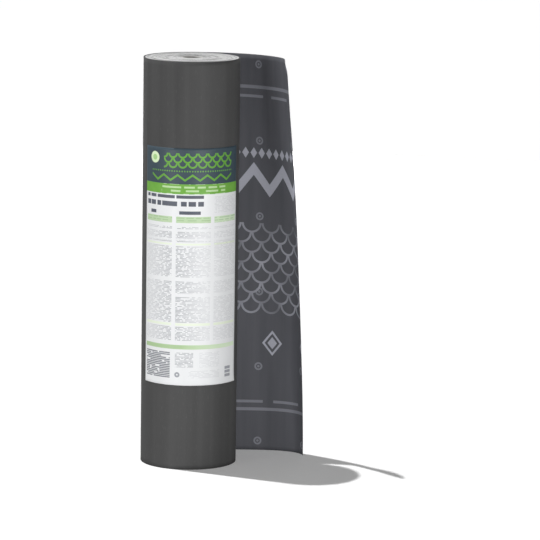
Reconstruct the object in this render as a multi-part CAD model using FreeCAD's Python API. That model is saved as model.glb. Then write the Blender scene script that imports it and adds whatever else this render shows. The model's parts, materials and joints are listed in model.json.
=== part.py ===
"""A roll of synthetic roofing underlayment standing on its end, with its loose end peeled off.

The sheet is wound clockwise, seen from above, on a grey board core. Its outer end leaves the
roll at the back, runs to the right (+X) and curls round towards the front (-Y). A paper label
is stuck to the front of the roll.

Frame: +Z up along the roll's axis, with the origin on that axis at the lower end. Millimetres.
"""

import FreeCAD
import Part
import math
import os

# The sheet and the roll that it is wound into.
SHEET_WIDTH = 1066.8  # 42 in, which is the roll's height as it stands
SHEET_THICKNESS = 0.5
ROLL_RADIUS = 126.0

# The core tube, as long as the sheet is wide.
CORE_BORE_RADIUS = 25.4  # 2 in bore
CORE_WALL = 4.0

# The loose end. Its heading turns by LOOSE_TURN from where it leaves the roll to its cut edge.
# The turn is spread along the upper edge, and gathered near the cut edge at the floor.
LOOSE_LENGTH = 333.0
LOOSE_TURN = math.radians(84.5)
GATHER_AT_FLOOR = 5.4
GATHER_AT_TOP = 1.35
GATHER_FADE = 1.45  # how fast the gathering fades up from the floor
ROOT_SINK = 0.2  # how far the loose end's outer face starts inside the roll's surface
SECTIONS = 6  # outlines up the height
SPANS = 12  # spline points along each face of an outline, less one
STEPS_PER_SPAN = 40  # steps that the heading is summed over in each span

# The label, centred on the roll's height.
LABEL_WIDTH = 288.0  # measured round the roll
LABEL_HEIGHT = 620.0
LABEL_THICKNESS = 0.3
LABEL_TURN = 2.0  # degrees that its middle stands round from the front, towards +X

AXIS = FreeCAD.Vector(0, 0, 1)
CORE_RADIUS = CORE_BORE_RADIUS + CORE_WALL


def tube(outer_radius, inner_radius, length):
    """A straight tube standing on the floor."""
    bore = Part.makeCylinder(inner_radius, length)
    return Part.makeCylinder(outer_radius, length).cut(bore)


def gather(share_up):
    """How strongly the bend gathers towards the cut edge, at a share of the height."""
    return GATHER_AT_TOP + (GATHER_AT_FLOOR - GATHER_AT_TOP) * (1 - share_up) ** GATHER_FADE


def loose_faces(height):
    """Points along the outer and the inner face of the loose end, at one height."""
    power = gather(height / SHEET_WIDTH)
    steps = SPANS * STEPS_PER_SPAN
    step_length = LOOSE_LENGTH / steps
    x = 0.0
    y = ROLL_RADIUS - ROOT_SINK
    outer = []
    inner = []
    for step in range(steps + 1):
        if step % STEPS_PER_SPAN == 0:
            heading = LOOSE_TURN * (step / steps) ** power
            to_inner = FreeCAD.Vector(-math.sin(heading), -math.cos(heading), 0)
            point = FreeCAD.Vector(x, y, height)
            outer.append(point)
            inner.append(point + to_inner * SHEET_THICKNESS)
        heading = LOOSE_TURN * ((step + 0.5) / steps) ** power
        x += step_length * math.cos(heading)
        y -= step_length * math.sin(heading)
    return outer, inner


def spline(points):
    """A smooth edge through the points."""
    curve = Part.BSplineCurve()
    curve.interpolate(points)
    return curve.toShape()


def loose_outline(height):
    """The closed outline of the loose end at one height."""
    outer, inner = loose_faces(height)
    root = Part.makeLine(inner[0], outer[0])
    cut_edge = Part.makeLine(outer[-1], inner[-1])
    return Part.Wire([root, spline(outer), cut_edge, spline(inner[::-1])])


def make_underlayment():
    """The sheet: its wound turns as one turned solid with a bore, and its loose end."""
    wound = tube(ROLL_RADIUS, CORE_RADIUS, SHEET_WIDTH)
    heights = [SHEET_WIDTH * k / (SECTIONS - 1) for k in range(SECTIONS)]
    loose_end = Part.makeLoft([loose_outline(z) for z in heights], True)
    return wound.fuse(loose_end).removeSplitter()


def make_core_tube():
    """The board tube that the sheet is wound on, cut flush with it."""
    return tube(CORE_RADIUS, CORE_BORE_RADIUS, SHEET_WIDTH)


def make_label():
    """The paper label, bent round the front of the roll."""
    arc = math.degrees(LABEL_WIDTH / ROLL_RADIUS)
    foot = FreeCAD.Vector(0, 0, (SHEET_WIDTH - LABEL_HEIGHT) / 2)
    sector = Part.makeCylinder(ROLL_RADIUS + LABEL_THICKNESS, LABEL_HEIGHT, foot, AXIS, arc)
    label = sector.cut(Part.makeCylinder(ROLL_RADIUS, LABEL_HEIGHT, foot))
    front = -90 + LABEL_TURN - arc / 2
    label.rotate(FreeCAD.Vector(), AXIS, front)
    return label


SUBPARTS = {
    "underlayment": make_underlayment,
    "core_tube": make_core_tube,
    "label": make_label,
}

os.makedirs("parts", exist_ok=True)
for name, make in SUBPARTS.items():
    shape = make()
    print(name, "valid", shape.isValid(), "solids", len(shape.Solids), "volume", round(shape.Volume))
    shape.exportStep(f"parts/{name}.step")
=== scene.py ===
import bmesh
import bpy
import json
import math
import random
from mathutils import Matrix, Vector, noise


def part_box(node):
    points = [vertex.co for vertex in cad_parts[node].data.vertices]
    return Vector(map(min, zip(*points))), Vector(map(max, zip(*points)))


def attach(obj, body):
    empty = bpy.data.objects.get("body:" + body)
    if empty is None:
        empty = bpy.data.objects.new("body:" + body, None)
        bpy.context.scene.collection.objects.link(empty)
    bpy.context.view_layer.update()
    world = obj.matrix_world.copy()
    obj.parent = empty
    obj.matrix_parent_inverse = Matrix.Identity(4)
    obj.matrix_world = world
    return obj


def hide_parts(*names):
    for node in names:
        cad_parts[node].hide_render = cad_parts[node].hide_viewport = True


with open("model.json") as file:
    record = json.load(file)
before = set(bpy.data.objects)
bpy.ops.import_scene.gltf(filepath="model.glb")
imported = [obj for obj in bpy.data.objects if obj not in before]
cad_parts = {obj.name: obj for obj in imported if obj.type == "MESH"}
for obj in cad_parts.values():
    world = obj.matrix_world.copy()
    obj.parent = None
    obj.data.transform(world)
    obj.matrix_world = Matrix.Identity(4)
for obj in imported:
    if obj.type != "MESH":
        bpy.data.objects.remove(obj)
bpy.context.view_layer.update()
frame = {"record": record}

# The view: a long lens just above head height, straight in front of the roll and looking down on
# it. Its heading is turned a little towards +X, and the picture leans by less than a degree.
VIEW_PLACE = Vector((0.0, -8.84, 1.98))
VIEW_HEADING = math.radians(1.357)
VIEW_DROP = math.radians(9.445)
VIEW_LEAN = math.radians(0.80)

camera_data = bpy.data.cameras.new("view")
camera_data.sensor_width = 36
camera_data.lens = 228.2
camera = bpy.data.objects.new("view", camera_data)
turned = Matrix.Rotation(-VIEW_HEADING, 4, "Z") @ Matrix.Rotation(math.pi / 2 - VIEW_DROP, 4, "X")
camera.matrix_world = Matrix.Translation(VIEW_PLACE) @ turned @ Matrix.Rotation(VIEW_LEAN, 4, "Z")
bpy.context.collection.objects.link(camera)
bpy.context.scene.camera = camera


# The sheet: flat plastic strips woven and coated dark grey, 42 in wide, wound with its plain side
# outwards. Its outermost turn and its loose end, which leaves the roll at the back and curls round
# to the front with its printed side showing, are one flat grid, in metres, bent into place.
SHEET_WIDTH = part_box("underlayment")[1][2]
ROLL_RADIUS = -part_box("underlayment")[0][0]
SHEET_THICKNESS = 0.0005
TURN_PITCH = 0.0006
LOOSE_LENGTH = 0.333
LOOSE_TURN = math.radians(84.5)
GATHER_AT_FLOOR = 5.4  # how strongly the bend gathers towards the cut edge, from 1, evenly spread
GATHER_AT_TOP = 1.35
GATHER_FADE = 1.45  # how fast the gathering gives way with height
CURL_REACH = 0.020  # how far from its tip the loose end's upper corner is curled over
CURL_IN = 0.007
CURL_DROP = 0.005
DENT = 0.00012  # the mean depth of the outermost turn's shallow dents
TUCK = 0.012  # how far the outermost turn runs on under its own start
WOUND_LENGTH = 2 * math.pi * ROLL_RADIUS + TUCK
SHEET_CELL = 0.0045
FILM_GREY = (0.052, 0.052, 0.052, 1)
FILM_STREAK = (0.074, 0.074, 0.074, 1)
INNER_GREY = (0.092, 0.094, 0.106, 1)
INNER_STREAK = (0.120, 0.122, 0.137, 1)
PRINT_GREY = (0.500, 0.510, 0.580, 1)


def loose_place(along, height):
    """Where a point of the loose end stands, and its heading, turned clockwise from +X."""
    fade = (1 - height / SHEET_WIDTH) ** GATHER_FADE
    power = GATHER_AT_TOP + (GATHER_AT_FLOOR - GATHER_AT_TOP) * fade
    steps = max(1, round(along / SHEET_CELL))
    stride = along / steps
    x, y = 0.0, ROLL_RADIUS
    for step in range(steps):
        heading = LOOSE_TURN * ((step + 0.5) * stride / LOOSE_LENGTH) ** power
        x += stride * math.cos(heading)
        y -= stride * math.sin(heading)
    return x, y, LOOSE_TURN * (along / LOOSE_LENGTH) ** power


def wound_place(back, height):
    """Where a point stands that is wound up, a distance back from where the loose end starts."""
    angle = math.pi / 2 + back / ROLL_RADIUS
    radius = ROLL_RADIUS - TURN_PITCH * back / (2 * math.pi * ROLL_RADIUS)
    dent = DENT * (1 + noise.noise(Vector((back * 22, height * 2.5, 3.0))))
    return (radius - dent) * math.cos(angle), (radius - dent) * math.sin(angle)


def loose_wave(along, height):
    """How far the loose end stands off its smooth bend: long waves, and a flutter at its edges."""
    slack = min(1.0, along / LOOSE_LENGTH) ** 1.5
    long_wave = 0.0022 * noise.noise(Vector((along * 5, height * 3.2, 11.0)))
    near_end = max(0.0, 1 - min(height, SHEET_WIDTH - height) / 0.06)
    flutter = 0.0011 * near_end ** 2 * noise.noise(Vector((along * 26, height * 4, 17.0)))
    return slack * (long_wave + flutter)


def corner_curl(along, height):
    """How far the loose end's upper corner is curled over, from 0 to 1 at its tip."""
    off_corner = math.hypot(LOOSE_LENGTH - along, SHEET_WIDTH - height)
    return math.exp(-((off_corner / CURL_REACH) ** 1.5))


sheet_mesh = bmesh.new()
sheet_length = WOUND_LENGTH + LOOSE_LENGTH
bmesh.ops.create_grid(
    sheet_mesh,
    x_segments=round(sheet_length / SHEET_CELL),
    y_segments=round(SHEET_WIDTH / (3 * SHEET_CELL)),
    size=0.5,
)
bmesh.ops.scale(sheet_mesh, vec=(sheet_length, SHEET_WIDTH, 1), verts=sheet_mesh.verts)
middle = (LOOSE_LENGTH - sheet_length / 2, SHEET_WIDTH / 2, 0)
bmesh.ops.translate(sheet_mesh, vec=middle, verts=sheet_mesh.verts)
flat = sheet_mesh.loops.layers.uv.new("flat")
for face in sheet_mesh.faces:
    for corner in face.loops:
        corner[flat].uv = corner.vert.co.xy
for vert in sheet_mesh.verts:
    along, height = vert.co.xy
    if along > 0:
        x, y, heading = loose_place(along, height)
        curl = corner_curl(along, height)
        outwards = loose_wave(along, height) - CURL_IN * curl
        z = height - CURL_DROP * curl
        vert.co = (x + outwards * math.sin(heading), y + outwards * math.cos(heading), z)
    else:
        vert.co = (*wound_place(-along, height), height)
bmesh.ops.reverse_faces(sheet_mesh, faces=sheet_mesh.faces)


def new_piece(name, mesh, finishes):
    """Makes a bmesh one smooth piece of the object, on the CAD body, with its finishes."""
    data = bpy.data.meshes.new(name)
    mesh.to_mesh(data)
    mesh.free()
    for finish in finishes:
        data.materials.append(finish)
    data.shade_smooth()
    piece = bpy.data.objects.new(name, data)
    bpy.context.collection.objects.link(piece)
    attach(piece, "root")
    return piece


def new_finish(name, roughness, specular):
    """A material, its nodes, and its shader."""
    finish = bpy.data.materials.new(name)
    finish.use_nodes = True
    shader = finish.node_tree.nodes["Principled BSDF"]
    shader.inputs["Roughness"].default_value = roughness
    shader.inputs["Specular IOR Level"].default_value = specular
    return finish, finish.node_tree, shader


def calc(tree, operation, *values):
    """One Math node, fed with numbers and with other nodes' outputs."""
    maths = tree.nodes.new("ShaderNodeMath")
    maths.operation = operation
    for socket, value in zip(maths.inputs, values):
        if isinstance(value, (int, float)):
            socket.default_value = value
        else:
            tree.links.new(value, socket)
    return maths.outputs[0]


def flat_places(tree):
    """Two outputs: metres along and metres up the flat sheet, from its UV map."""
    marked = tree.nodes.new("ShaderNodeUVMap")
    marked.uv_map = "flat"
    split = tree.nodes.new("ShaderNodeSeparateXYZ")
    tree.links.new(marked.outputs["UV"], split.inputs[0])
    return split.outputs["X"], split.outputs["Y"]


def cloud(tree, x, y, detail=2.0):
    """Noise from 0 to 1 over the two places, one unit of either to a cloud."""
    join = tree.nodes.new("ShaderNodeCombineXYZ")
    for socket, value in zip(join.inputs, (x, y)):
        tree.links.new(value, socket)
    grain = tree.nodes.new("ShaderNodeTexNoise")
    grain.inputs["Scale"].default_value = 1.0
    grain.inputs["Detail"].default_value = detail
    tree.links.new(join.outputs[0], grain.inputs["Vector"])
    return grain.outputs[0]


def blend_colours(tree, share, first, second):
    """The second colour over the first, by a share from 0 to 1."""
    mix = tree.nodes.new("ShaderNodeMix")
    mix.data_type = "RGBA"
    mix.clamp_factor = True
    tree.links.new(share, mix.inputs["Factor"])
    for socket, colour in ((mix.inputs["A"], first), (mix.inputs["B"], second)):
        if isinstance(colour, tuple):
            socket.default_value = colour
        else:
            tree.links.new(colour, socket)
    return mix.outputs["Result"]


def raise_surface(tree, shader, height, distance):
    """Fine relief on the shader's normal: a height of 1 stands up by the distance, in metres."""
    bump = tree.nodes.new("ShaderNodeBump")
    bump.inputs["Distance"].default_value = distance
    tree.links.new(height, bump.inputs["Height"])
    tree.links.new(bump.outputs[0], shader.inputs["Normal"])


def between(tree, place, low, high):
    """1 where a place lies between two limits, else 0."""
    off_middle = calc(tree, "ABSOLUTE", calc(tree, "SUBTRACT", place, (low + high) / 2))
    return calc(tree, "LESS_THAN", off_middle, (high - low) / 2)


def repeat(tree, place, pitch, start=0.0):
    """The place within its own repeat, from minus half a pitch to half a pitch."""
    turns = calc(tree, "DIVIDE", calc(tree, "SUBTRACT", place, start), pitch)
    within = calc(tree, "FRACT", calc(tree, "ADD", turns, 0.5))
    return calc(tree, "MULTIPLY", calc(tree, "SUBTRACT", within, 0.5), pitch)


def far_from(tree, x, y):
    """The distance of (x, y) from 0."""
    return calc(tree, "SQRT", calc(tree, "ADD", calc(tree, "POWER", x, 2), calc(tree, "POWER", y, 2)))


def all_of(tree, *marks):
    """1 where every mark is."""
    total = marks[0]
    for mark in marks[1:]:
        total = calc(tree, "MULTIPLY", total, mark)
    return total


def any_of(tree, *marks):
    """The strongest of the marks."""
    total = marks[0]
    for mark in marks[1:]:
        total = calc(tree, "MAXIMUM", total, mark)
    return total


def weave(tree, along, height, strip):
    """The relief of a plain weave of flat strips, from 0 to 1."""
    column = calc(tree, "FLOOR", calc(tree, "DIVIDE", along, strip))
    row = calc(tree, "FLOOR", calc(tree, "DIVIDE", height, strip))
    odd = calc(tree, "FLOORED_MODULO", calc(tree, "ADD", column, row), 2.0)
    across = calc(tree, "ABSOLUTE", calc(tree, "SINE", calc(tree, "MULTIPLY", along, math.pi / strip)))
    up = calc(tree, "ABSOLUTE", calc(tree, "SINE", calc(tree, "MULTIPLY", height, math.pi / strip)))
    upper = calc(tree, "MULTIPLY", across, odd)
    lower = calc(tree, "MULTIPLY", up, calc(tree, "SUBTRACT", 1.0, odd))
    return calc(tree, "ADD", upper, lower)


STRIP_WIDTH = 0.0024
WEAVE_RELIEF = 0.00006
# How far in from the sheet's long edges the painted shade along them reaches
EDGE_FADE = 0.010
SCUFF_GREY = (0.13, 0.13, 0.13, 1)
# The grey of that painted edge shade
EDGE_SHADE_GREY = (0.020, 0.020, 0.021, 1)

outer_film, tree, shader = new_finish("outer_film", 0.62, 0.12)
along, height = flat_places(tree)
streaks = cloud(tree, calc(tree, "MULTIPLY", along, 38), calc(tree, "MULTIPLY", height, 0.7), 5.0)
patches = cloud(tree, calc(tree, "MULTIPLY", along, 7), calc(tree, "MULTIPLY", height, 1.1))
streaks = calc(tree, "MULTIPLY", calc(tree, "SUBTRACT", streaks, 0.5), 1.5)
streaks = calc(tree, "ADD", streaks, calc(tree, "MULTIPLY_ADD", patches, 1.6, -0.3))
streak_colour = blend_colours(tree, streaks, FILM_GREY, FILM_STREAK)
scuffs = cloud(tree, calc(tree, "MULTIPLY", along, 260), calc(tree, "MULTIPLY", height, 60), 5.0)
scuffs = calc(tree, "MULTIPLY", calc(tree, "SUBTRACT", scuffs, 0.60), 1.6)
scuffed_colour = blend_colours(tree, scuffs, streak_colour, SCUFF_GREY)


def painted_edge_shade(tree, height, colour):
    """The colour, darker towards the sheet's long edges: painted shade along them."""
    to_edge = calc(tree, "MINIMUM", height, calc(tree, "SUBTRACT", SHEET_WIDTH, height))
    edge_shade = calc(tree, "SUBTRACT", 1.0, calc(tree, "DIVIDE", to_edge, EDGE_FADE))
    edge_shade = calc(tree, "MULTIPLY", calc(tree, "MAXIMUM", edge_shade, 0.0), 0.22)
    return blend_colours(tree, edge_shade, colour, EDGE_SHADE_GREY)


# The outer face: streaks and scuffs, with painted shade along its long edges
tree.links.new(painted_edge_shade(tree, height, scuffed_colour), shader.inputs["Base Color"])
raise_surface(tree, shader, weave(tree, along, height, STRIP_WIDTH), WEAVE_RELIEF)

inner_film, tree, shader = new_finish("inner_film", 0.66, 0.12)
along, height = flat_places(tree)
streaks = cloud(tree, calc(tree, "MULTIPLY", along, 30), calc(tree, "MULTIPLY", height, 2.0), 4.0)
streaks = calc(tree, "MULTIPLY_ADD", calc(tree, "SUBTRACT", streaks, 0.5), 2.0, 0.5)
film_colour = blend_colours(tree, streaks, INNER_GREY, INNER_STREAK)
threads = weave(tree, along, height, STRIP_WIDTH)

# What the roofer goes by: rings to nail through, and a line and dashes to lap the next sheet to.
NAIL_ROW = 0.2032  # 8 in between rows, the first and the last 1 in from the edges
FIRST_ROW = 0.0254
NAIL_COLUMN = 0.1380
FIRST_COLUMN = 0.1850
row_place = repeat(tree, height, NAIL_ROW, FIRST_ROW)
off_nail = far_from(tree, repeat(tree, along, NAIL_COLUMN, FIRST_COLUMN), row_place)
nail_ring = between(tree, off_nail, 0.0062, 0.0108)
nail_dot = calc(tree, "LESS_THAN", off_nail, 0.0034)
lap_lines = any_of(tree, between(tree, height, 0.9765, 0.9855), between(tree, height, 0.1075, 0.1160))
dash_rows = any_of(tree, between(tree, height, 0.9525, 0.9600), between(tree, height, 0.1290, 0.1365))
dash_columns = calc(tree, "LESS_THAN", repeat(tree, along, 0.105, 0.174), 0.024)
faint_marks = any_of(tree, nail_ring, nail_dot, lap_lines, all_of(tree, dash_rows, dash_columns))

# The ornament, from the top down: small diamonds, a broad zigzag, shingles, and framed diamonds.
DIAMOND_HEIGHT = 0.805
ZIGZAG_FOOT = 0.705
SHINGLE_FOOT = 0.372
FRAMED_HEIGHT = 0.293
SHINGLE_RADIUS = 0.0272
SHINGLE_COURSES = 9
diamond_x = calc(tree, "ABSOLUTE", repeat(tree, along, 0.023, 0.03))
diamond_y = calc(tree, "ABSOLUTE", calc(tree, "SUBTRACT", height, DIAMOND_HEIGHT))
diamonds = calc(tree, "LESS_THAN", calc(tree, "MULTIPLY_ADD", diamond_x, 1.55, diamond_y), 0.0145)
slope = calc(tree, "ABSOLUTE", repeat(tree, along, 0.092, 0.03))
ridge = calc(tree, "MULTIPLY_ADD", slope, 1.25, ZIGZAG_FOOT)
zigzag = calc(tree, "LESS_THAN", calc(tree, "ABSOLUTE", calc(tree, "SUBTRACT", height, ridge)), 0.017)
framed_x = calc(tree, "ABSOLUTE", repeat(tree, along, 0.124, 0.098))
framed_y = calc(tree, "ABSOLUTE", calc(tree, "SUBTRACT", height, FRAMED_HEIGHT))
framed_off = calc(tree, "MULTIPLY_ADD", framed_x, 1.25, framed_y)
framed = calc(tree, "LESS_THAN", framed_off, 0.0165)
frames = between(tree, framed_off, 0.0260, 0.0345)
bold_marks = any_of(tree, diamonds, zigzag, framed, frames)


def shingles(tree, along, height, radius, line):
    """The round lower ends of shingles in courses, each course set off by half a shingle."""
    course = calc(tree, "FLOOR", calc(tree, "DIVIDE", height, radius))
    shift = calc(tree, "MULTIPLY", calc(tree, "FLOORED_MODULO", course, 2.0), radius)
    x = repeat(tree, calc(tree, "ADD", along, shift), 2 * radius)
    y = calc(tree, "MULTIPLY", calc(tree, "FRACT", calc(tree, "DIVIDE", height, radius)), radius)
    below_top = calc(tree, "SUBTRACT", radius, y)
    return between(tree, far_from(tree, x, below_top), radius - line, radius)


shingle_place = calc(tree, "SUBTRACT", height, SHINGLE_FOOT)
shingle_lines = all_of(
    tree,
    shingles(tree, along, shingle_place, SHINGLE_RADIUS, 0.0056),
    between(tree, shingle_place, 0.0, SHINGLE_COURSES * SHINGLE_RADIUS),
)
patches = cloud(tree, calc(tree, "MULTIPLY", along, 14), calc(tree, "MULTIPLY", height, 14), 1.0)
shingle_ink = calc(tree, "MULTIPLY", shingle_lines, calc(tree, "MULTIPLY_ADD", patches, 1.5, -0.28))

ink_wear = cloud(tree, calc(tree, "MULTIPLY", along, 500), calc(tree, "MULTIPLY", height, 500), 3.0)
ink_hold = calc(tree, "MULTIPLY_ADD", threads, 0.22, calc(tree, "MULTIPLY_ADD", ink_wear, 0.4, 0.52))
ink = any_of(
    tree,
    calc(tree, "MULTIPLY", faint_marks, 0.36),
    calc(tree, "MULTIPLY", bold_marks, 0.98),
    shingle_ink,
)
ink = calc(tree, "MULTIPLY", ink, ink_hold)
printed_colour = blend_colours(tree, ink, film_colour, PRINT_GREY)
# The printed face too gets the painted shade along its long edges
tree.links.new(painted_edge_shade(tree, height, printed_colour), shader.inputs["Base Color"])
raise_surface(tree, shader, threads, WEAVE_RELIEF)

cut_edge, tree, shader = new_finish("cut_edge", 0.7, 0.2)
along, height = flat_places(tree)
fray = cloud(tree, calc(tree, "MULTIPLY", along, 900), calc(tree, "MULTIPLY", height, 900))
tree.links.new(
    blend_colours(tree, fray, (0.05, 0.05, 0.052, 1), (0.14, 0.14, 0.145, 1)),
    shader.inputs["Base Color"],
)

sheet = new_piece("sheet", sheet_mesh, (outer_film, inner_film, cut_edge))
thickness = sheet.modifiers.new("thickness", "SOLIDIFY")
thickness.thickness = SHEET_THICKNESS
thickness.offset = -1
thickness.material_offset = 1
thickness.material_offset_rim = 2
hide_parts("underlayment")


# The wound turns: some hundred and sixty layers of the same sheet under the outermost one, wound
# slightly unevenly by machine, so each end shows a fine spiral of cut edges in shallow steps. The
# edges are pale, for only the faces are coated, but the last few turns are dark.
CORE_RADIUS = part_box("core_tube")[1][0]
WOUND_RADIUS = ROLL_RADIUS - 0.0016  # clear of the outermost turn and its tuck
END_STEP = 0.0009  # how much two neighbouring bands of turns differ in level, at most
BAND_WIDTHS = (0.0012, 0.0034)
BAND_SLOPE = 0.0003
GROOVE = 0.0006
DARK_TURNS = 0.0042  # how deep the last few turns go, whose edges are dark
END_GREY = (0.90, 0.90, 0.90, 1)
END_LINE = (0.76, 0.76, 0.76, 1)
SEAM_GREY = (0.25, 0.25, 0.255, 1)

wind = random.Random(42)
profile = [(CORE_RADIUS + 0.0001, 0.0)]
while profile[-1][0] < WOUND_RADIUS - 0.004:
    level = wind.uniform(0, END_STEP)
    start = profile[-1][0] + BAND_SLOPE
    end = start + wind.uniform(*BAND_WIDTHS)
    profile += [(start, level), (end, level)]
    if wind.random() < 0.5:
        profile += [(end + 0.0002, END_STEP + GROOVE)]
profile += [(WOUND_RADIUS - 0.0006, 0.0004), (WOUND_RADIUS, 0.0010)]

wound_mesh = bmesh.new()
section = [wound_mesh.verts.new((radius, 0, depth)) for radius, depth in profile]
section += [wound_mesh.verts.new((radius, 0, SHEET_WIDTH - depth)) for radius, depth in profile[::-1]]
for first, second in zip(section, section[1:] + section[:1]):
    wound_mesh.edges.new((first, second))
bmesh.ops.spin(
    wound_mesh,
    geom=wound_mesh.verts[:] + wound_mesh.edges[:],
    cent=(0, 0, 0),
    axis=(0, 0, 1),
    angle=2 * math.pi,
    steps=160,
    use_merge=True,
)
for vert in wound_mesh.verts:
    radius = vert.co.xy.length
    sway = noise.noise(Vector((*(vert.co.xy.normalized() * 1.4), radius * 220 + vert.co.z)))
    inwards = 1 if vert.co.z < SHEET_WIDTH / 2 else -1
    vert.co.z += inwards * 0.0005 * (1 + sway)
    if CORE_RADIUS + 0.001 < radius < WOUND_RADIUS - 0.001:
        vert.co.xy *= 1 + 0.0006 * sway / radius
bmesh.ops.recalc_face_normals(wound_mesh, faces=wound_mesh.faces)
for face in wound_mesh.faces:
    face.material_index = 0 if abs(face.normal.z) > 0.3 else 1


def axis_places(tree):
    """Three outputs: the distance from the roll's axis, the share of a turn about it, and z."""
    place = tree.nodes.new("ShaderNodeTexCoord")
    split = tree.nodes.new("ShaderNodeSeparateXYZ")
    tree.links.new(place.outputs["Object"], split.inputs[0])
    x, y, z = split.outputs
    turn = calc(tree, "MULTIPLY", calc(tree, "ARCTAN2", y, x), 1 / (2 * math.pi))
    return far_from(tree, x, y), turn, z


turn_ends, tree, shader = new_finish("turn_ends", 0.75, 0.2)
radius, turn, z = axis_places(tree)
turns_out = calc(tree, "ADD", calc(tree, "DIVIDE", radius, TURN_PITCH), turn)
within_turn = calc(tree, "FRACT", turns_out)
seam = calc(tree, "LESS_THAN", within_turn, 0.30)
turn_number = calc(tree, "FLOOR", turns_out)
turn_tone = cloud(tree, calc(tree, "MULTIPLY", turn_number, 0.23), turn, 3.0)
turn_tone = calc(tree, "MULTIPLY_ADD", calc(tree, "SUBTRACT", turn_tone, 0.5), 1.6, 0.35)
edge_colour = blend_colours(tree, turn_tone, END_GREY, END_LINE)
edge_colour = blend_colours(tree, calc(tree, "MULTIPLY", seam, 0.32), edge_colour, SEAM_GREY)
last_turns = calc(tree, "GREATER_THAN", radius, ROLL_RADIUS - DARK_TURNS)
edge_colour = blend_colours(tree, last_turns, edge_colour, FILM_GREY)
tree.links.new(edge_colour, shader.inputs["Base Color"])
raise_surface(tree, shader, calc(tree, "SINE", calc(tree, "MULTIPLY", within_turn, math.pi)), 0.0003)

wound = new_piece("wound_turns", wound_mesh, (turn_ends, outer_film))
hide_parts("underlayment")


# The core: a tube of pale grey board, plies of it wound on a slant and glued, sawn flush with the
# sheet. Its rims are worn round, and the plies' seams run up it as a spiral.
BORE_RADIUS = frame["record"]["mounts"][0]["dims"]["r_mm"] / 1000
RIM_ROUND = 0.0018
CORE_FOOT = 0.0002
CORE_TOP = SHEET_WIDTH - CORE_FOOT
PLY_THICKNESS = 0.0008
PLY_RISE = 0.115  # how far up a ply's seam climbs in one turn
BOARD_GREY = (0.86, 0.85, 0.83, 1)
BOARD_DARK = (0.78, 0.77, 0.75, 1)
BOARD_LINE = (0.15, 0.14, 0.13, 1)

core_mesh = bmesh.new()
corners = (
    (BORE_RADIUS, CORE_FOOT),
    (CORE_RADIUS, CORE_FOOT),
    (CORE_RADIUS, CORE_TOP),
    (BORE_RADIUS, CORE_TOP),
)
section = [core_mesh.verts.new((radius, 0, z)) for radius, z in corners]
for first, second in zip(section, section[1:] + section[:1]):
    core_mesh.edges.new((first, second))
bmesh.ops.bevel(
    core_mesh,
    geom=section,
    affect="VERTICES",
    offset=RIM_ROUND,
    segments=4,
    profile=0.5,
    material=-1,
)
bmesh.ops.spin(
    core_mesh,
    geom=core_mesh.verts[:] + core_mesh.edges[:],
    cent=(0, 0, 0),
    axis=(0, 0, 1),
    angle=2 * math.pi,
    steps=96,
    use_merge=True,
)
bmesh.ops.recalc_face_normals(core_mesh, faces=core_mesh.faces)

board, tree, shader = new_finish("board", 0.85, 0.15)
radius, turn, z = axis_places(tree)
ply_seam = calc(tree, "FRACT", calc(tree, "ADD", calc(tree, "DIVIDE", z, PLY_RISE), turn))
ply_seam = calc(tree, "LESS_THAN", ply_seam, 0.012)
ply = calc(tree, "FRACT", calc(tree, "DIVIDE", radius, PLY_THICKNESS))
ply_line = all_of(
    tree,
    calc(tree, "LESS_THAN", ply, 0.25),
    between(tree, radius, BORE_RADIUS + 0.0004, CORE_RADIUS - 0.0004),
)
fibres = cloud(tree, calc(tree, "MULTIPLY", turn, 160), calc(tree, "MULTIPLY", z, 900), 5.0)
board_colour = blend_colours(tree, fibres, BOARD_GREY, BOARD_DARK)
board_lines = calc(tree, "MULTIPLY", any_of(tree, ply_seam, ply_line), 0.35)
board_colour = blend_colours(tree, board_lines, board_colour, BOARD_LINE)
tree.links.new(board_colour, shader.inputs["Base Color"])
raise_surface(tree, shader, fibres, 0.00025)

core = new_piece("core", core_mesh, (board,))
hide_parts("core_tube")


# The label: one sheet of coated paper stuck round the front of the roll. It is printed with a dark
# header over a green stripe, and below them with columns of small print, here plain dashes. Each
# area is cut into the flat paper with its own ink, and the paper is then bent round the roll.
LABEL_WIDTH = 0.288
LABEL_FOOT, LABEL_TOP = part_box("label")[0][2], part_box("label")[1][2]
LABEL_HEIGHT = LABEL_TOP - LABEL_FOOT
LABEL_THICKNESS = 0.00018
LABEL_TURN = math.radians(2)
LABEL_RADIUS = ROLL_RADIUS + 0.0003
AREA_ENDS = (0.093, 0.119, 0.176, 0.196, 0.512, 0.526)  # where each area ends, down from the top
PAPER_WHITE = (0.785, 0.795, 0.805, 1)
PAPER_SHADE = (0.715, 0.725, 0.735, 1)
INK_SLATE = (0.029, 0.051, 0.070, 1)
INK_GREEN = (0.118, 0.335, 0.034, 1)
INK_PALE_GREEN = (0.38, 0.53, 0.29, 1)
INK_GREY = (0.20, 0.21, 0.24, 1)
INK_DARK = (0.085, 0.095, 0.120, 1)
LINE_PITCH = 0.0034  # from one line of small print to the next
LINE_WORD = 0.0075
ROW_PITCH = 0.0162  # the same for the large rows under the stripe
ROW_WORD = 0.0080


def label_places(tree):
    """Two outputs: metres right of the label's middle, and metres down from its top."""
    across, up = flat_places(tree)
    return across, calc(tree, "SUBTRACT", LABEL_HEIGHT, up)


def paper(tree):
    """The paper's own colour, faintly clouded."""
    across, down = label_places(tree)
    grain = cloud(tree, calc(tree, "MULTIPLY", across, 35), calc(tree, "MULTIPLY", down, 12), 5.0)
    return blend_colours(tree, grain, PAPER_WHITE, PAPER_SHADE)


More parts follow.
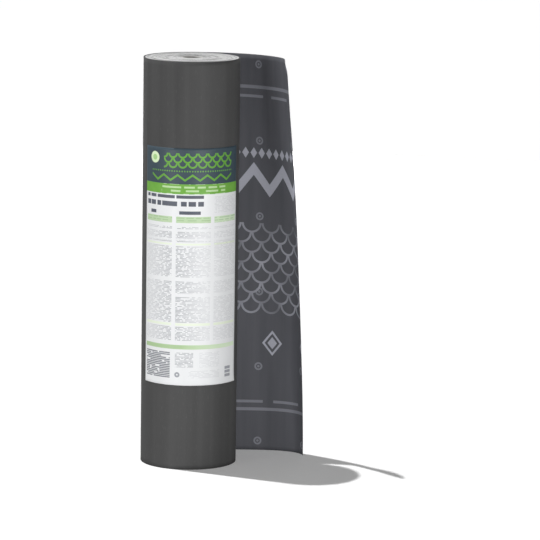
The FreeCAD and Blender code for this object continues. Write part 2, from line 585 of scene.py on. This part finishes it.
def small_print(tree, across, down, pitch, fill, word, space=0.42):
    """Lines of dashes of uneven length, like text too small to read: 1 on a dash."""
    line = calc(tree, "FLOOR", calc(tree, "DIVIDE", down, pitch))
    in_line = calc(tree, "FRACT", calc(tree, "DIVIDE", down, pitch))
    stroke = calc(tree, "LESS_THAN", in_line, fill)
    words = cloud(tree, calc(tree, "DIVIDE", across, word), calc(tree, "MULTIPLY", line, 7.31), 0.0)
    return calc(tree, "MULTIPLY", stroke, calc(tree, "GREATER_THAN", words, space))


def in_columns(tree, across):
    """1 within the three columns of print, 0 in the margins and gutters."""
    return any_of(
        tree,
        between(tree, across, -0.138, -0.053),
        between(tree, across, -0.042, 0.050),
        between(tree, across, 0.060, 0.138),
    )


def block(tree, across, down, left, right, top, foot):
    """1 in a rectangle of the label: its sides are places across, its top and foot places down."""
    return all_of(tree, between(tree, across, left, right), between(tree, down, top, foot))


def print_over(tree, colour, *layers):
    """The colour, with each layer's ink over it in turn: its mark, its strength and its ink."""
    for mark, strength, ink in layers:
        colour = blend_colours(tree, calc(tree, "MULTIPLY", mark, strength), colour, ink)
    return colour


def finish_print(tree, shader, colour):
    """The ink's colour on the paper, and the paper's faint tooth."""
    across, down = label_places(tree)
    tree.links.new(colour, shader.inputs["Base Color"])
    tooth = cloud(tree, calc(tree, "MULTIPLY", across, 700), calc(tree, "MULTIPLY", down, 700), 3.0)
    raise_surface(tree, shader, tooth, 0.00004)


header_ink, tree, shader = new_finish("header_ink", 0.5, 0.3)
across, down = label_places(tree)
scallops = all_of(
    tree,
    shingles(tree, across, calc(tree, "SUBTRACT", 0.052, down), 0.0130, 0.0044),
    block(tree, across, down, -0.078, 0.117, 0.013, 0.052),
)
bead_off = far_from(tree, repeat(tree, across, 0.0068), calc(tree, "SUBTRACT", down, 0.0595))
beads = all_of(tree, calc(tree, "LESS_THAN", bead_off, 0.0019), between(tree, across, -0.117, 0.117))
slope = calc(tree, "ABSOLUTE", repeat(tree, across, 0.039, 0.0))
ridge = calc(tree, "MULTIPLY_ADD", slope, 0.70, 0.0665)
zigzag = all_of(
    tree,
    between(tree, calc(tree, "SUBTRACT", down, ridge), 0.0, 0.0058),
    between(tree, across, -0.117, 0.117),
)
disc_far = far_from(tree, calc(tree, "ADD", across, 0.108), calc(tree, "SUBTRACT", down, 0.0270))
wear_and_sheen = cloud(tree, calc(tree, "MULTIPLY", across, 90), calc(tree, "MULTIPLY", down, 90))
slate = blend_colours(tree, wear_and_sheen, INK_SLATE, (0.038, 0.059, 0.074, 1))
colour = print_over(
    tree,
    slate,
    (any_of(tree, scallops, beads, zigzag), 1.0, INK_GREEN),
    (calc(tree, "LESS_THAN", disc_far, 0.0150), 1.0, (0.66, 0.80, 0.52, 1)),
    (calc(tree, "LESS_THAN", disc_far, 0.0075), 1.0, (0.36, 0.60, 0.24, 1)),
)
finish_print(tree, shader, colour)

stripe_ink, tree, shader = new_finish("stripe_ink", 0.5, 0.3)
across, down = label_places(tree)
pale_words = small_print(tree, across, calc(tree, "SUBTRACT", down, 0.0985), 0.0095, 0.52, 0.016)
pale_words = all_of(tree, pale_words, between(tree, across, -0.088, 0.094))
wear_and_sheen = cloud(tree, calc(tree, "MULTIPLY", across, 60), calc(tree, "MULTIPLY", down, 60))
green = blend_colours(tree, wear_and_sheen, INK_GREEN, (0.165, 0.390, 0.060, 1))
finish_print(tree, shader, print_over(tree, green, (pale_words, 1.0, (0.45, 0.63, 0.33, 1))))

intro_ink, tree, shader = new_finish("intro_ink", 0.5, 0.3)
across, down = label_places(tree)
upper_rows = all_of(
    tree,
    small_print(tree, across, calc(tree, "SUBTRACT", down, 0.1220), ROW_PITCH, 0.76, ROW_WORD, 0.36),
    any_of(
        tree,
        block(tree, across, down, -0.137, 0.030, 0.1220, 0.1302),
        block(tree, across, down, -0.137, 0.030, 0.1380, 0.1520),
    ),
)
last_row = all_of(
    tree,
    small_print(tree, across, calc(tree, "SUBTRACT", down, 0.1630), ROW_PITCH, 0.54, ROW_WORD, 0.36),
    any_of(
        tree,
        block(tree, across, down, -0.034, 0.022, 0.1630, 0.1730),
        block(tree, across, down, -0.125, -0.100, 0.1630, 0.1730),
    ),
)
notes = all_of(
    tree,
    small_print(tree, across, down, LINE_PITCH, 0.34, 0.006),
    block(tree, across, down, 0.060, 0.138, 0.1260, 0.1700),
)
colour = print_over(
    tree,
    paper(tree),
    (any_of(tree, upper_rows, last_row), 1.0, INK_DARK),
    (notes, 0.3, INK_GREY),
)
finish_print(tree, shader, colour)

heading_ink, tree, shader = new_finish("heading_ink", 0.5, 0.3)
across, down = label_places(tree)
heading = all_of(tree, in_columns(tree, across), between(tree, down, 0.1775, 0.1935))
dark_words = small_print(tree, across, calc(tree, "SUBTRACT", down, 0.1795), 0.0065, 0.40, 0.011)
last_column = calc(tree, "GREATER_THAN", across, 0.055)
green = blend_colours(tree, last_column, (0.47, 0.61, 0.385, 1), (0.58, 0.71, 0.51, 1))
colour = print_over(
    tree,
    paper(tree),
    (heading, 1.0, green),
    (all_of(tree, heading, dark_words), 0.45, (0.20, 0.36, 0.16, 1)),
)
finish_print(tree, shader, colour)

column_ink, tree, shader = new_finish("column_ink", 0.5, 0.3)
across, down = label_places(tree)
gaps = any_of(
    tree,
    all_of(tree, between(tree, down, 0.2445, 0.2535), calc(tree, "LESS_THAN", across, 0.055)),
    between(tree, down, 0.3350, 0.3450),
    all_of(tree, between(tree, down, 0.3780, 0.3870), calc(tree, "GREATER_THAN", across, -0.048)),
    between(tree, down, 0.4540, 0.4640),
    between(tree, down, 0.5020, 0.5200),
    between(tree, down, 0.1900, 0.2030),
    between(tree, down, 0.2105, 0.2155),
    between(tree, down, 0.2350, 0.2390),
)
lines = all_of(
    tree,
    small_print(tree, across, down, LINE_PITCH, 0.45, LINE_WORD),
    in_columns(tree, across),
    calc(tree, "SUBTRACT", 1.0, gaps),
)
tinted = all_of(
    tree,
    in_columns(tree, across),
    any_of(tree, between(tree, down, 0.4560, 0.4625), between(tree, down, 0.2470, 0.2515)),
)
off_gutter = calc(tree, "ABSOLUTE", calc(tree, "ADD", across, 0.045))
heavy = calc(tree, "MAXIMUM", calc(tree, "MULTIPLY_ADD", off_gutter, -12, 1.0), 0.0)
lines = calc(tree, "MULTIPLY", lines, calc(tree, "MULTIPLY_ADD", heavy, 0.72, 0.26))
colour = print_over(
    tree,
    paper(tree),
    (tinted, 0.5, (0.74, 0.84, 0.58, 1)),
    (lines, 1.0, INK_GREY),
)
finish_print(tree, shader, colour)

rule_ink, tree, shader = new_finish("rule_ink", 0.5, 0.3)
across, down = label_places(tree)
# The rule's green is clouded by wear and grows paler towards the right: a painted sheen on the paper
wear_and_sheen = cloud(tree, calc(tree, "MULTIPLY", across, 16), calc(tree, "MULTIPLY", down, 50))
wear_and_sheen = calc(tree, "MULTIPLY_ADD", across, 6.0, calc(tree, "MULTIPLY", wear_and_sheen, 0.4))
green = blend_colours(tree, wear_and_sheen, INK_PALE_GREEN, (0.70, 0.81, 0.63, 1))
drawn = block(tree, across, down, -0.139, 0.139, 0.5135, 0.5245)
finish_print(tree, shader, print_over(tree, paper(tree), (drawn, 1.0, green)))

foot_ink, tree, shader = new_finish("foot_ink", 0.5, 0.3)
across, down = label_places(tree)
left_block = all_of(
    tree,
    small_print(tree, across, down, 0.0046, 0.66, 0.014, 0.32),
    block(tree, across, down, -0.137, -0.056, 0.5320, 0.6020),
)
fine_lines = small_print(tree, across, down, LINE_PITCH, 0.40, LINE_WORD)
middle_block = all_of(tree, fine_lines, block(tree, across, down, -0.042, 0.006, 0.5330, 0.5720))
right_blocks = all_of(
    tree,
    fine_lines,
    any_of(
        tree,
        block(tree, across, down, 0.022, 0.080, 0.5330, 0.5720),
        block(tree, across, down, -0.006, 0.080, 0.5800, 0.6020),
    ),
)
spot = far_from(tree, calc(tree, "ADD", across, 0.036), calc(tree, "SUBTRACT", down, 0.5920))
spot = between(tree, spot, 0.0022, 0.0070)
panel = all_of(
    tree,
    block(tree, across, down, 0.099, 0.121, 0.5740, 0.6040),
    calc(tree, "GREATER_THAN", calc(tree, "ABSOLUTE", repeat(tree, down, 0.0100, 0.5740)), 0.0012),
)
colour = print_over(
    tree,
    paper(tree),
    (left_block, 0.86, INK_DARK),
    (middle_block, 0.85, INK_GREY),
    (right_blocks, 0.24, INK_GREY),
    (any_of(tree, spot, panel), 0.80, INK_GREY),
)
finish_print(tree, shader, colour)

label_mesh = bmesh.new()
bmesh.ops.create_grid(label_mesh, x_segments=72, y_segments=110, size=0.5)
bmesh.ops.scale(label_mesh, vec=(LABEL_WIDTH, LABEL_HEIGHT, 1), verts=label_mesh.verts)
bmesh.ops.translate(label_mesh, vec=(0, LABEL_HEIGHT / 2, 0), verts=label_mesh.verts)
for end in AREA_ENDS:
    bmesh.ops.bisect_plane(
        label_mesh,
        geom=label_mesh.verts[:] + label_mesh.edges[:] + label_mesh.faces[:],
        dist=0.00001,
        plane_co=(0, LABEL_HEIGHT - end, 0),
        plane_no=(0, 1, 0),
    )
flat = label_mesh.loops.layers.uv.new("flat")
for face in label_mesh.faces:
    down = LABEL_HEIGHT - face.calc_center_median().y
    face.material_index = sum(down > end for end in AREA_ENDS)
    for corner in face.loops:
        corner[flat].uv = corner.vert.co.xy


def paper_lift(across, up):
    """How far the paper stands off the roll: a lifting corner and side, and faint blisters."""
    to_side = LABEL_WIDTH / 2 - abs(across)
    side = 0.0004 * math.exp(-to_side / 0.006)
    corner = 0.0016 * math.exp(-math.hypot(LABEL_WIDTH / 2 - across, up) / 0.016)
    blister = 0.00030 * max(0.0, noise.noise(Vector((across * 16, up * 9, 5.0))) - 0.12)
    crease = 0.00022 * max(0.0, 1 - abs(across + 0.052 + 0.10 * (up - 0.2)) / 0.004)
    return side + corner + blister + crease * max(0.0, 1 - abs(up - 0.22) / 0.20)


for vert in label_mesh.verts:
    across, up = vert.co.xy
    angle = -math.pi / 2 + LABEL_TURN + across / ROLL_RADIUS
    radius = LABEL_RADIUS + paper_lift(across, up)
    vert.co = (radius * math.cos(angle), radius * math.sin(angle), LABEL_FOOT + up)
inks = (header_ink, stripe_ink, intro_ink, heading_ink, column_ink, rule_ink, foot_ink)
label = new_piece("paper_label", label_mesh, inks)
thickness = label.modifiers.new("thickness", "SOLIDIFY")
thickness.thickness = LABEL_THICKNESS
thickness.offset = -1
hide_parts("label")


# The floor and the light: a white floor, a high lamp from behind on the left that throws the
# shadow, and three wide soft lamps low round the roll for its upright faces.
floor_mesh = bmesh.new()
bmesh.ops.create_grid(floor_mesh, x_segments=1, y_segments=1, size=20)
bmesh.ops.translate(floor_mesh, vec=(0, 0, -0.0001), verts=floor_mesh.verts)
floor_data = bpy.data.meshes.new("floor")
floor_mesh.to_mesh(floor_data)
floor_mesh.free()
floor_finish, tree, shader = new_finish("floor_white", 0.95, 0.0)
shader.inputs["Emission Color"].default_value = (1, 1, 1, 1)
ray = tree.nodes.new("ShaderNodeLightPath")
seen = ray.outputs["Is Camera Ray"]
floor_colour = blend_colours(tree, seen, (0.50, 0.50, 0.50, 1), (0.80, 0.80, 0.80, 1))
tree.links.new(floor_colour, shader.inputs["Base Color"])
tree.links.new(calc(tree, "MULTIPLY", seen, 0.21), shader.inputs["Emission Strength"])
floor_data.materials.append(floor_finish)
floor = bpy.data.objects.new("floor", floor_data)
bpy.context.collection.objects.link(floor)


def add_lamp(name, kind, power, place, aim):
    """A lamp at a place, turned to shine at another."""
    data = bpy.data.lights.new(name, kind)
    data.energy = power
    lamp = bpy.data.objects.new(name, data)
    lamp.location = place
    lamp.rotation_euler = (Vector(aim) - Vector(place)).to_track_quat("-Z", "Y").to_euler()
    bpy.context.collection.objects.link(lamp)
    return data


sun = add_lamp("high_lamp", "SUN", 3.1, (-0.320, 0.167, 1.0668), (0, 0, 0))
sun.angle = math.radians(0.9)
LAMP_HEIGHT = 0.3
for name, power, x, y in (
    ("front_lamp", 208, 2.4, -5.5),
    ("left_lamp", 160, -4.2, -4.3),
    ("back_lamp", 150, 1.6, 6.0),
):
    lamp = add_lamp(name, "AREA", power, (x, y, LAMP_HEIGHT), (0, 0, LAMP_HEIGHT))
    lamp.shape = "RECTANGLE"
    lamp.size = 2.4
    lamp.size_y = 0.5

# The room: white where it is seen straight on, mirrored or through something, and otherwise only
# a faint light from all round.
world = bpy.data.worlds.new("room")
world.use_nodes = True
tree = world.node_tree
ray = tree.nodes.new("ShaderNodeLightPath")
seen = any_of(
    tree,
    ray.outputs["Is Camera Ray"],
    ray.outputs["Is Glossy Ray"],
    ray.outputs["Is Transmission Ray"],
)
room_light = tree.nodes["Background"]
room_light.inputs["Color"].default_value = (1, 1, 1, 1)
tree.links.new(calc(tree, "MULTIPLY_ADD", seen, 0.94, 0.06), room_light.inputs["Strength"])
bpy.context.scene.world = world
bpy.context.scene.view_settings.view_transform = "Standard"
